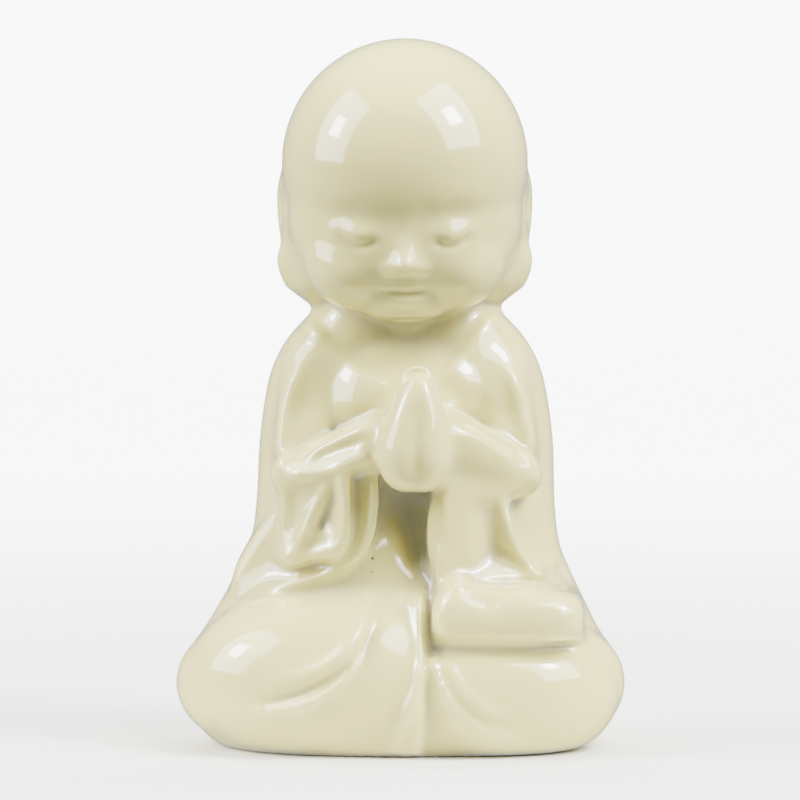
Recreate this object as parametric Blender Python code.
"""Seated child figurine in cream porcelain, palms pressed together before the chest.

Slip-cast and glazed in one piece, so it is one closed body. It stands on its flat underside, faces -Y,
and has its origin on the underside, below the middle of its width and depth.

The body is built as a modeller would build it in clay: simple masses are laid together, fused into one
skin, softened, and then the folds, the hollows and the face are pressed in along drawn lines.
"""
import math

import bmesh
import bpy
import numpy as np
from mathutils import Matrix, Vector

# Driving dimension, in metres: underside to crown
HEIGHT = 0.100

# The figure's pose, proportions and carving are shares of its height. One share is a hundredth of it.
SHARE = HEIGHT / 100

# Working of the clay
GRAIN = 0.72             # cell of the fused skin, in shares
SOFTENING_ROUNDS = 13    # rounds of smoothing that round off where masses meet
POLISHING_ROUNDS = 2     # rounds of smoothing after the folds are pressed in
SPARE = 4.0              # depth of the masses below the underside, cut away at the end, in shares
RIM_ROUND = 2.0          # height over which the rim of the underside is rounded, in shares
PULL_TO_VIEW = 1.5       # how much more a fold moves towards the front or back than along the surface's normal
FACET_SHARE = 0.106      # part of the fine skin's faces that the faceted body keeps

# Head, in shares
HEAD_PLACE = (0.3, -1.5, 82.17)
HEAD_BOW = 10.0            # degrees that the head is bowed
HEAD_HALF_WIDTH = 17.5
HEAD_HALF_DEPTH = 18.9
HEAD_HALF_HEIGHT = 17.7
HEAD_MASK_DROP = 21.5      # the face ends this far below the head's middle, along the bowed head
HEAD_MASK_FLOOR = 60.0     # and above this height
EAR_MASK_SIDE = 14.5       # the ears begin this far from the middle
EYE_SIDE = 6.6             # each eye from the middle of the face
EYE_DROP = 6.0             # eyes below the head's middle

# Neck, in shares: middle and radii at its foot and at its top
NECK_FOOT = (0, 2.6, 54)
NECK_FOOT_RADII = (9.0, 9.4, 9.0)
NECK_TOP = (0, 2.4, 68)
NECK_TOP_RADII = (10.0, 11.0, 9.0)

# Robe over the back and sides: height, half width, half depth, centre x, centre y
ROBE = [
    (-SPARE, 22.6, 14.8, -0.3, -1.5),
    (0, 26.4, 17.4, -0.3, -1.5),
    (4, 29.8, 19.3, -0.3, -1.3),
    (8, 31.8, 20.0, -0.3, -1.0),
    (12, 31.0, 19.2, -0.3, -0.4),
    (16, 28.2, 18.0, -0.2, 0.3),
    (20, 26.0, 16.6, 0.0, 1.0),
    (24, 23.9, 15.4, 0.2, 1.7),
    (28, 22.1, 14.6, 0.3, 2.2),
    (34, 21.3, 13.6, 0.4, 2.6),
    (42, 21.0, 12.6, 0.5, 2.9),
    (48, 20.3, 11.8, 0.5, 3.0),
    (53, 19.2, 11.0, 0.5, 3.0),
    (57, 17.2, 10.2, 0.5, 3.0),
    (60, 14.6, 9.5, 0.5, 3.0),
    (63, 11.6, 8.8, 0.4, 3.0),
    (68, 7.0, 7.0, 0.3, 3.0),
]
ROBE_SQUARENESS = 2.3      # 2 is an ellipse, more is squarer
RING_POINTS = 72

# Sleeves and the wrap below the left one, as seen from the front: x and height along the outline
LEFT_SLEEVE = [
    (-17.2, 40.0), (-12.6, 40.2), (-8.6, 41.2), (-7.4, 39.0), (-7.3, 34.0),
    (-7.6, 29.5), (-9.4, 27.2), (-12.4, 27.2), (-16.2, 26.2), (-17.2, 30.0),
]
RIGHT_SLEEVE = [
    (6.2, 43.0), (5.6, 38.0), (5.2, 31.0), (5.0, 24.0), (12.0, 23.8), (19.6, 23.8),
    (17.6, 26.8), (15.8, 30.0), (15.0, 35.0), (18.4, 38.0), (17.4, 41.0), (12.0, 44.5),
]
WRAP = [
    (-12.0, 42.0), (-4.4, 41.0), (-3.5, 37.0), (-3.8, 32.0), (-5.4, 28.0), (-9.6, 25.0),
    (-16.0, 22.6), (-23.6, 20.2), (-23.8, 25.0), (-19.0, 33.0),
]

# Foot lying on the lap, heel to toes: x, height of the top, how far forward the front edge is
FOOT = [
    (3.9, 21.4, 20.0),
    (5.2, 24.2, 21.4),
    (7.4, 25.0, 22.2),
    (10.0, 24.4, 22.5),
    (13.0, 23.9, 22.6),
    (18.0, 23.8, 22.6),
    (22.0, 23.2, 22.2),
    (24.2, 22.6, 21.0),
    (25.4, 21.9, 18.8),
]
FOOT_SOLE = 16.2       # height of the foot's underside
FOOT_TURN = 18.9       # height of its front edge
FOOT_DEPTH = 16.0      # from the front edge back into the lap

# Middle of the hollow in the chest, and how far in front of the middle the one below the hands starts
CHEST_HOLLOW = (0.8, 57.0)
RECESS_FRONT = 14.5

for leftover in list(bpy.data.objects):
    bpy.data.objects.remove(leftover)


def scaled(point):
    """A place or size given in shares, in metres."""
    return Vector(point) * SHARE


def flowing(points, steps=5):
    """A smooth line through every point (Catmull-Rom), in any number of dimensions."""
    knots = np.array(points, float)
    knots = np.vstack([2 * knots[0] - knots[1], knots, 2 * knots[-1] - knots[-2]])
    line = []
    for a, b, c, d in zip(knots[:-3], knots[1:-2], knots[2:-1], knots[3:]):
        for t in np.arange(steps) / steps:
            line.append(0.5 * (2 * b + (c - a) * t + (2 * a - 5 * b + 4 * c - d) * t**2
                               + (3 * b - a - 3 * c + d) * t**3))
    return np.array(line + [knots[-2]])


# Masses of clay


def add(clay, mass):
    """Lay one closed mass into the clay."""
    mesh = bpy.data.meshes.new("mass")
    mass.to_mesh(mesh)
    mass.free()
    clay.from_mesh(mesh)
    bpy.data.meshes.remove(mesh)


def ball(clay, centre, radii, turn=Matrix.Identity(4)):
    """An ellipsoid."""
    place = Matrix.Translation(scaled(centre)) @ turn @ Matrix.Diagonal((*scaled(radii), 1))
    bmesh.ops.create_icosphere(clay, subdivisions=5, radius=1.0, matrix=place)


def limb(clay, start, end, start_radii, end_radii):
    """A tapered limb: an ellipsoid at each end and the hull around both."""
    mass = bmesh.new()
    for centre, radii in ((start, start_radii), (end, end_radii)):
        place = Matrix.Translation(scaled(centre)) @ Matrix.Diagonal((*scaled(radii), 1))
        bmesh.ops.create_icosphere(mass, subdivisions=4, radius=1.0, matrix=place)
    hull = bmesh.ops.convex_hull(mass, input=mass.verts)
    inner = {v for v in hull["geom_interior"] + hull["geom_unused"] if isinstance(v, bmesh.types.BMVert)}
    bmesh.ops.delete(mass, geom=list(inner), context="VERTS")
    add(clay, mass)


def lofted(clay, rings):
    """A closed skin through rings of equally many points."""
    mass = bmesh.new()
    loops = [[mass.verts.new(scaled(point)) for point in ring] for ring in rings]
    for low, high in zip(loops, loops[1:]):
        for i in range(len(low)):
            j = (i + 1) % len(low)
            mass.faces.new((low[i], low[j], high[j], high[i]))
    mass.faces.new(loops[0][::-1])
    mass.faces.new(loops[-1])
    bmesh.ops.recalc_face_normals(mass, faces=mass.faces)
    add(clay, mass)


def hanging(clay, outline, front, thickness, lean):
    """Cloth or a limb drawn from the front and pushed back into the body.

    front is how far the face stands before the middle at x = 0, and lean how far it falls back for
    each share sideways and each share up.
    """
    mass = bmesh.new()
    rim = flowing(outline + outline[:1])[:-1]
    corners = []
    for x, z in rim:
        y = front + lean[0] * x + lean[1] * z
        corners.append(mass.verts.new(scaled((x, y, z))))
    face = mass.faces.new(corners)
    pushed = bmesh.ops.extrude_face_region(mass, geom=[face], use_keep_orig=True)
    moved = [v for v in pushed["geom"] if isinstance(v, bmesh.types.BMVert)]
    bmesh.ops.translate(mass, verts=moved, vec=scaled((0, thickness, 0)))
    bmesh.ops.recalc_face_normals(mass, faces=mass.faces)
    add(clay, mass)


def superellipse(half_width, half_depth, squareness):
    """Points around a rounded oval about the origin, anticlockwise from above."""
    points = []
    for i in range(RING_POINTS):
        c, s = math.cos(math.tau * i / RING_POINTS), math.sin(math.tau * i / RING_POINTS)
        x = math.copysign(abs(c) ** (2 / squareness), c) * half_width
        y = math.copysign(abs(s) ** (2 / squareness), s) * half_depth
        points.append((x, y))
    return points


def robe(clay):
    rings = []
    for z, half_width, half_depth, x, y in flowing(ROBE):
        oval = superellipse(half_width, half_depth, ROBE_SQUARENESS)
        rings.append([(x + px, y + py, z) for px, py in oval])
    lofted(clay, rings)
    ball(clay, (0.4, -1.5, 47.0), (13.0, 10.5, 13.0))


def legs(clay):
    ball(clay, (-10.5, -8.0, 10.2), (20.2, 15.2, 13.0))
    ball(clay, (12.6, -8.2, 8.4), (18.2, 14.8, 11.8))
    for side in (-1, 1):
        ball(clay, (21.3 * side - 0.3, -6.5, 9.2), (10.5, 10.3, 8.8))


def arms(clay):
    for side in (-1, 1):
        shoulder = (12.2 * side + 0.4, -0.8, 52.6)
        elbow = (13.4 * side + 0.4, -4.4, 40.8)
        limb(clay, shoulder, elbow, (5.8, 5.6, 5.6), (5.4, 6.0, 5.0))
    limb(clay, (-15.6, -8.8, 38.8), (-3.6, -13.4, 44.0), (3.2, 3.6, 3.2), (3.4, 4.2, 4.0))
    limb(clay, (16.2, -8.8, 38.8), (6.9, -13.4, 44.2), (3.6, 3.8, 3.6), (3.4, 4.4, 4.4))


def hands(clay):
    """Two palms pressed together, broad at the wrist and narrow at the fingertips."""
    for side in (-1, 1):
        wrist = (1.6 + 1.3 * side, -16.6, 42.4)
        fingertips = (2.1 + 0.3 * side, -17.0, 52.2)
        limb(clay, wrist, fingertips, (4.1, 5.2, 5.6), (2.3, 3.2, 2.8))


def sleeves(clay):
    hanging(clay, LEFT_SLEEVE, -19.6, 9.0, (-0.48, 0.0))
    hanging(clay, RIGHT_SLEEVE, -19.8, 9.0, (0.38, 0.03))
    hanging(clay, WRAP, -21.2, 9.0, (-0.55, 0.12))
    ball(clay, (6.0, -11.0, 31.0), (3.6, 5.2, 9.0))


def foot(clay):
    """The upturned foot: a sloping top, a tight front edge and a flat underside."""
    rings = []
    for x, top, front in flowing(FOOT):
        back = FOOT_DEPTH - front
        rings.append([
            (x, -front, FOOT_TURN),
            (x, 0.3 - front, FOOT_TURN + 0.5 * (top - FOOT_TURN)),
            (x, 1.8 - front, FOOT_TURN + 0.85 * (top - FOOT_TURN)),
            (x, 5.0 - front, top),
            (x, back, top),
            (x, back, FOOT_SOLE),
            (x, 2.2 - front, FOOT_SOLE),
            (x, 0.8 - front, FOOT_SOLE + 0.45 * (FOOT_TURN - FOOT_SOLE)),
        ])
    lofted(clay, rings)


def head(clay):
    tilt = Matrix.Rotation(math.radians(HEAD_BOW), 4, "X")

    def lump(place, radii, turn=0.0):
        """One mass of the head, placed from the head's middle and bowed with it."""
        centre = Vector(HEAD_PLACE) + tilt.to_3x3() @ Vector(place)
        ball(clay, centre, radii, tilt @ Matrix.Rotation(math.radians(turn), 4, "Y"))

    lump((0, 1.0, 0), (HEAD_HALF_WIDTH, HEAD_HALF_DEPTH, HEAD_HALF_HEIGHT))
    lump((0, -2.0, -7.5), (16.6, 15.8, 14.4))
    lump((0, -9.4, -15.4), (7.6, 6.4, 5.6))
    for side in (-1, 1):
        lump((6.6 * side, -8.4, -11.4), (7.8, 7.4, 7.6))
        lump((12.0 * side, 2.0, -14.5), (5.2, 7.4, 6.2))
        lump((16.6 * side, 2.6, -7.4), (1.9, 4.2, 6.3), 4 * side)
        lump((15.9 * side, 1.0, -14.0), (2.0, 3.2, 4.6), -3 * side)
    limb(clay, NECK_FOOT, NECK_TOP, NECK_FOOT_RADII, NECK_TOP_RADII)


def smoothing(figure, rounds):
    """Wipe the clay smooth."""
    soften = figure.modifiers.new("soften", "SMOOTH")
    soften.factor = 0.5
    soften.iterations = rounds


def fused():
    """All the masses as one softened skin."""
    clay = bmesh.new()
    for lay in (robe, legs, arms, hands, sleeves, foot, head):
        lay(clay)
    mesh = bpy.data.meshes.new("clay")
    clay.to_mesh(mesh)
    clay.free()
    lump = bpy.data.objects.new("clay", mesh)
    bpy.context.scene.collection.objects.link(lump)
    skin = lump.modifiers.new("fuse", "REMESH")
    skin.mode = "VOXEL"
    skin.voxel_size = GRAIN * SHARE
    smoothing(lump, SOFTENING_ROUNDS)
    bpy.context.view_layer.update()
    ready = lump.evaluated_get(bpy.context.evaluated_depsgraph_get())
    result = bpy.data.meshes.new_from_object(ready)
    bpy.data.objects.remove(lump)
    bpy.data.meshes.remove(mesh)
    return result


# Lines drawn on the front or back of the clay


def rise(t):
    """0 before 0, 1 after 1, and a smooth slope between."""
    t = np.clip(t, 0, 1)
    return t * t * (3 - 2 * t)


def beside(places, line):
    """Signed distance of each place from a drawn line, positive on the line's left, and how far along
    the line its nearest point is, from 0 to 1."""
    line = flowing(line)
    spans = np.diff(line, axis=0)
    lengths = np.hypot(*spans.T)
    starts = np.concatenate([[0], np.cumsum(lengths)[:-1]])
    distance = np.full(len(places), np.inf)
    along = np.zeros(len(places))
    for a, span, length, start in zip(line, spans, lengths, starts):
        offset = places - a
        t = np.clip(offset @ span / length**2, 0, 1)
        gap = offset - t[:, None] * span
        reach = np.hypot(*gap.T)
        side = np.sign(span[0] * offset[:, 1] - span[1] * offset[:, 0])
        nearer = reach < np.abs(distance)
        distance[nearer] = (reach * np.where(side == 0, 1, side))[nearer]
        along[nearer] = ((start + t * length) / lengths.sum())[nearer]
    return distance, along


def ends(along, fade):
    """Runs a line out to nothing over the given part of its length at the start and at the end."""
    return rise(along / fade[0]) * rise((1 - along) / fade[1])


def ridge(places, line, width, height, fade=(0.25, 0.25)):
    """A rounded fold along a line, or a groove when the height is negative."""
    distance, along = beside(places, line)
    return height * np.exp(-(distance / width) ** 2) * ends(along, fade)


def edge(places, line, width, height, reach, fade=(0.2, 0.2)):
    """The edge of a layer of cloth, which lies on the line's left and melts into the body."""
    distance, along = beside(places, line)
    step = rise(distance / width + 0.5)
    return height * step * np.exp(-np.maximum(distance, 0) / reach) * ends(along, fade)


def press(places, centre, radii, depth):
    """A soft dent, or a swelling when the depth is negative."""
    offset = (places - np.array(centre)) / np.array(radii)
    return -depth * np.exp(-(offset**2).sum(1))


def collar_folds(q):
    """The neckline, and the roll of cloth on the left shoulder."""
    f = edge(q, [(-1.0, 51.6), (-5.5, 53.8), (-10.5, 57.8), (-15.0, 63.0)], 1.6, 1.1, 7.0, (0.2, 0.3))
    f += edge(q, [(15.0, 65.0), (8.8, 57.4), (4.6, 52.0)], 1.6, 1.4, 8.0, (0.2, 0.2))
    f += ridge(q, [(-14.6, 59.8), (-12.4, 58.4), (-10.0, 57.4)], 1.0, 0.6, (0.4, 0.4))
    f += press(q, CHEST_HOLLOW, (6.6, 5.4), 2.2)
    f += press(q, (11.0, 51.6), (4.2, 5.0), -0.8)
    return f


def arm_folds(q):
    """Ridges down the upper arms, pockets inside the elbows and creases over the forearms."""
    f = ridge(q, [(-13.8, 55.4), (-16.4, 48.0), (-17.6, 38.8)], 1.2, 1.3)
    f += ridge(q, [(14.6, 55.2), (16.8, 47.6), (18.6, 39.8)], 1.2, 1.3)
    f -= ridge(q, [(-12.8, 51.5), (-13.8, 47.4), (-14.4, 44.4)], 1.6, 0.4, (0.5, 0.5))
    f -= ridge(q, [(13.6, 51.0), (14.6, 47.4), (15.2, 44.6)], 1.5, 0.5, (0.5, 0.5))
    f -= ridge(q, [(-17.0, 40.6), (-8.9, 45.5), (-2.4, 48.6)], 0.9, 1.1)
    f += ridge(q, [(-14.6, 41.6), (-8.6, 44.9), (-3.4, 46.8)], 0.8, 0.6)
    f -= ridge(q, [(-13.4, 41.0), (-8.4, 43.2), (-4.6, 44.6)], 0.7, 0.7)
    f -= ridge(q, [(6.4, 48.4), (11.1, 45.5), (18.8, 40.4)], 0.9, 1.2)
    f += ridge(q, [(8.0, 46.6), (12.0, 44.0), (17.0, 40.8)], 1.1, 0.6)
    return f


def sleeve_folds(q):
    """Raised rims at the mouths of the sleeves, and the hollows in them."""
    f = ridge(q, [(-17.2, 38.8), (-11.0, 39.6), (-8.4, 40.6), (-4.4, 42.2)], 0.9, 1.1, (0.2, 0.1))
    f += ridge(q, [(-8.6, 40.4), (-8.2, 34.6), (-8.7, 29.8), (-11.6, 28.2), (-15.0, 27.4)], 0.8, 0.9, (0.1, 0.2))
    f += ridge(q, [(-9.8, 39.0), (-12.9, 33.0), (-14.2, 30.0), (-15.8, 28.0)], 0.9, 1.3)
    f -= ridge(q, [(-10.2, 38.4), (-10.8, 34.0), (-12.0, 30.4)], 1.8, 1.4, (0.35, 0.25))
    f -= ridge(q, [(-14.6, 37.4), (-15.4, 33.0), (-16.6, 29.6)], 1.2, 0.8)
    f += press(q, (-15.8, 27.6), (1.6, 1.2), -1.2)
    f += ridge(q, [(-3.8, 40.5), (-3.9, 34.6), (-5.4, 29.4), (-10.1, 25.2), (-17.0, 22.9), (-22.8, 20.9)],
               1.0, 0.9, (0.1, 0.2))
    f += ridge(q, [(14.6, 36.0), (15.2, 30.4), (19.6, 24.2)], 1.1, 1.3, (0.3, 0.05))
    f -= ridge(q, [(12.0, 36.4), (12.2, 30.0), (13.2, 25.4)], 2.0, 1.2)
    f += ridge(q, [(6.6, 24.6), (13.0, 24.8), (19.6, 24.6)], 0.8, 0.8, (0.05, 0.05))
    f -= ridge(q, [(18.8, 38.0), (17.0, 35.8), (14.0, 35.2)], 1.1, 0.8)
    return f


def recess(p):
    """What lies behind the hands and the foot: the hollow between the sleeves, and the robe's edge."""
    q = p[:, [0, 2]]
    f = press(q, (1.6, 35.5), (4.4, 6.0), 4.6)
    f += press(q, (3.0, 28.4), (2.4, 4.4), 2.2)
    f -= ridge(q, [(21.4, 26.0), (25.4, 21.6), (30.0, 15.0)], 0.9, 0.8, (0.1, 0.1))
    return f * rise((p[:, 1] + RECESS_FRONT) / 2.5)


def lap_folds(q):
    """The crease over the lap, the swags on the left leg and the fold on the right."""
    f = -ridge(q, [(-28.4, 17.8), (-21.0, 20.6), (-12.0, 22.6), (2.4, 23.2)], 1.5, 0.8, (0.06, 0.7))
    f += ridge(q, [(-4.8, 23.6), (-5.4, 19.6), (-7.4, 15.8), (-11.6, 12.6), (-21.0, 10.4)], 1.1, 1.1, (0.15, 0.6))
    f -= ridge(q, [(-4.0, 21.6), (-5.4, 16.4), (-8.6, 12.7), (-13.2, 9.9), (-18.6, 8.4), (-24.0, 8.8)],
               1.1, 1.2, (0.25, 0.3))
    f += edge(q, [(-25.0, 8.0), (-18.6, 6.6), (-12.2, 8.0), (-7.2, 12.0), (-3.2, 22.0)], 1.2, 1.3, 4.0, (0.3, 0.3))
    f += ridge(q, [(-23.0, 7.2), (-17.6, 6.9), (-12.0, 8.6), (-7.8, 12.0), (-5.4, 16.0)], 0.7, 0.6)
    f += edge(q, [(18.5, 3.0), (10.6, 4.9), (7.6, 7.2), (5.4, 10.8), (4.4, 14.8)], 1.0, 1.2, 3.0, (0.3, 0.1))
    f += ridge(q, [(4.6, 14.4), (5.6, 10.6), (8.0, 7.1), (11.0, 5.1), (15.8, 4.2)], 0.7, 0.6, (0.1, 0.4))
    f += ridge(q, [(5.6, 14.8), (7.0, 11.8), (9.2, 8.8), (12.4, 6.7), (17.0, 5.6)], 0.8, 0.8, (0.15, 0.4))
    return f


def flap_folds(q):
    """The end of the robe that hangs over the crossed legs, its edge in front of the right leg."""
    f = edge(q, [(2.6, -1.0), (2.7, 9.0), (3.1, 17.0), (3.0, 24.0)], 1.0, 1.6, 7.0, (0.08, 0.15))
    f += ridge(q, [(2.1, 24.0), (2.2, 17.0), (2.1, 11.6), (0.9, 7.2), (-0.6, 4.2), (-1.6, -1.0)],
               0.8, 1.0, (0.12, 0.3))
    f += ridge(q, [(5.0, 14.6), (3.6, 12.6), (2.4, 10.0)], 0.8, 0.7, (0.2, 0.4))
    return f


def foot_folds(q):
    """The groove under the foot, the hollow of the arch, the heel and the line of the toes."""
    f = -ridge(q, [(3.6, 15.4), (14.0, 15.0), (24.8, 15.4)], 1.2, 0.5, (0.1, 0.1))
    f -= ridge(q, [(8.4, 25.6), (10.4, 23.0), (13.8, 20.8)], 1.5, 0.7)
    f -= ridge(q, [(3.9, 22.4), (4.0, 18.6), (4.2, 15.6)], 0.7, 0.6, (0.2, 0.2))
    return f


def hand_folds(q):
    """The line where the two palms meet."""
    return -ridge(q, [(2.3, 51.4), (2.1, 46.0), (1.8, 38.4)], 1.1, 0.7, (0.3, 0.2))


def back_folds(q):
    """Plain soft folds on the back, and the rolled collar."""
    f = ridge(q, [(-9.0, 55.0), (-9.8, 42.0), (-13.5, 24.0)], 2.6, 0.8)
    f += ridge(q, [(9.0, 55.0), (10.4, 42.0), (14.0, 24.0)], 2.6, 0.8)
    f += ridge(q, [(0.5, 50.0), (0.0, 36.0), (1.0, 20.0)], 2.4, 0.5)
    f += ridge(q, [(-23.0, 12.0), (0.0, 17.6), (23.0, 12.0)], 3.0, 0.6)
    f += ridge(q, [(-13.5, 58.0), (0.0, 60.6), (13.5, 58.0)], 1.6, 0.6)
    return f


def face(p):
    """Closed eyes, nose and mouth, p being places from the head's middle, upright and in shares.

    The face is cut on common infant proportions: brow at half of the head's height, eyes at five eighths,
    the base of the nose at six and the mouth near seven.
    """
    q = np.column_stack([np.abs(p[:, 0]), p[:, 2]])
    f = press(q, (EYE_SIDE, -EYE_DROP + 0.2), (4.6, 3.4), 1.9)
    f += press(q, (EYE_SIDE + 0.1, -EYE_DROP - 0.3), (3.1, 2.1), -2.3)
    lashes = [(EYE_SIDE - 3.0, -EYE_DROP - 0.9), (EYE_SIDE, -EYE_DROP - 2.0), (EYE_SIDE + 3.2, -EYE_DROP - 0.8)]
    f -= ridge(q, lashes, 0.6, 0.9)
    brow = [(EYE_SIDE - 4.0, -EYE_DROP + 3.6), (EYE_SIDE + 0.6, -EYE_DROP + 4.8), (EYE_SIDE + 5.0, -EYE_DROP + 3.2)]
    f += ridge(q, brow, 1.5, 0.3)
    f += ridge(q, [(0, -5.6), (0, -8.4), (0, -11.4)], 1.7, 2.2, (0.95, 0.15))
    f += press(q, (0, -10.8), (1.9, 1.4), -1.0)
    f += press(q, (2.0, -11.3), (1.0, 0.9), -0.8)
    f += press(q, (0, -14.0), (2.8, 0.9), -0.8)
    f += press(q, (0, -16.1), (2.3, 1.0), -0.9)
    f += press(q, (0, -17.6), (2.4, 0.7), 0.5)
    mouth = [(-3.3, -14.6), (0, -15.1), (3.3, -14.6)]
    f -= ridge(np.column_stack([p[:, 0], p[:, 2]]), mouth, 0.5, 0.9, (0.15, 0.15))
    return f


def ears(p):
    """The hollow inside each ear's rim, p being places from the head's middle."""
    q = p[:, 1:]
    f = press(q, (1.2, -6.6), (2.0, 3.4), 1.3)
    f += press(q, (0.6, -13.6), (1.6, 2.0), -0.4)
    return f


def carved(mesh):
    """Press the folds and the face into the fused skin.

    A fold is drawn as it shows from the front or the back, so the clay moves mostly that way, and partly
    along its own normal.
    """
    count = len(mesh.vertices)
    places = np.empty(3 * count)
    mesh.vertices.foreach_get("co", places)
    places = places.reshape(-1, 3)
    normals = np.array([v.vector for v in mesh.vertex_normals])
    p = places / SHARE
    q = p[:, [0, 2]]
    facing_front = rise(0.2 - normals[:, 1] * 1.4)
    facing_back = rise(0.1 + normals[:, 1] * 1.5)
    folds = np.zeros(count)
    for front_folds in (collar_folds, arm_folds, sleeve_folds, lap_folds, flap_folds, foot_folds, hand_folds):
        folds += front_folds(q) * facing_front
    folds += recess(p) * facing_front
    folds += back_folds(q) * facing_back
    # The folds stop below the head, and the face is cut on the head alone.
    upright = np.array(Matrix.Rotation(math.radians(HEAD_BOW), 3, "X"))
    in_head = (p - np.array(HEAD_PLACE)) @ upright
    on_head = rise((in_head[:, 2] + HEAD_MASK_DROP) / 2) * rise((p[:, 2] - HEAD_MASK_FLOOR) / 1.5)
    on_face = on_head * facing_front * (in_head[:, 1] < 0)
    on_ear = on_head * rise((np.abs(in_head[:, 0]) - EAR_MASK_SIDE) / 2) * rise(np.abs(normals[:, 0]) * 2 - 0.6)
    pull = normals + PULL_TO_VIEW * np.sign(normals[:, 1:2]) * np.array([[0, 1, 0]])
    pull /= np.linalg.norm(pull, axis=1)[:, None]
    places += pull * (folds * (1 - on_head) + face(in_head) * on_face)[:, None] * SHARE
    places += normals * (ears(in_head) * on_ear)[:, None] * SHARE
    mesh.vertices.foreach_set("co", places.ravel())
    mesh.update()


def glaze():
    """Warm cream porcelain glaze."""
    material = bpy.data.materials.new("glaze")
    material.use_nodes = True
    shader = material.node_tree.nodes["Principled BSDF"]
    shader.inputs["Base Color"].default_value = (0.76, 0.72, 0.55, 1.0)
    shader.inputs["Roughness"].default_value = 0.1
    shader.inputs["Metallic"].default_value = 0.0
    return material


def centre_over_origin(body):
    """Put the middle of the width and depth over the origin."""
    for axis in (0, 1):
        reach = [v.co[axis] for v in body.verts]
        aside = Vector((0, 0, 0))
        aside[axis] = -(min(reach) + max(reach)) / 2
        bmesh.ops.translate(body, verts=body.verts, vec=aside)


def stood_flat(body):
    """Cut the spare clay away below, and bring what is left up to a flat underside with a rounded rim."""
    low = RIM_ROUND * SHARE
    bmesh.ops.bisect_plane(
        body, geom=body.verts[:] + body.edges[:] + body.faces[:],
        plane_co=(0, 0, -low), plane_no=(0, 0, -1), clear_outer=True,
    )
    rim = [e for e in body.edges if e.is_boundary]
    bmesh.ops.contextual_create(body, geom=rim)
    for v in body.verts:
        if v.co.z < low:
            v.co.z = (v.co.z + low) ** 2 / (4 * low)
    bmesh.ops.recalc_face_normals(body, faces=body.faces)


def figurine():
    """The finished body: fused, carved, faceted, and cut flat where it stands."""
    mesh = fused()
    carved(mesh)
    figure = bpy.data.objects.new("figurine", mesh)
    bpy.context.scene.collection.objects.link(figure)
    smoothing(figure, POLISHING_ROUNDS)
    facets = figure.modifiers.new("facets", "DECIMATE")
    facets.ratio = FACET_SHARE
    bpy.context.view_layer.update()
    faceted = bmesh.new()
    faceted.from_object(figure, bpy.context.evaluated_depsgraph_get())
    figure.modifiers.clear()
    stood_flat(faceted)
    centre_over_origin(faceted)
    faceted.to_mesh(mesh)
    faceted.free()
    mesh.shade_smooth()
    mesh.set_sharp_from_angle(angle=math.radians(50))
    mesh.materials.append(glaze())
    return figure


figurine()
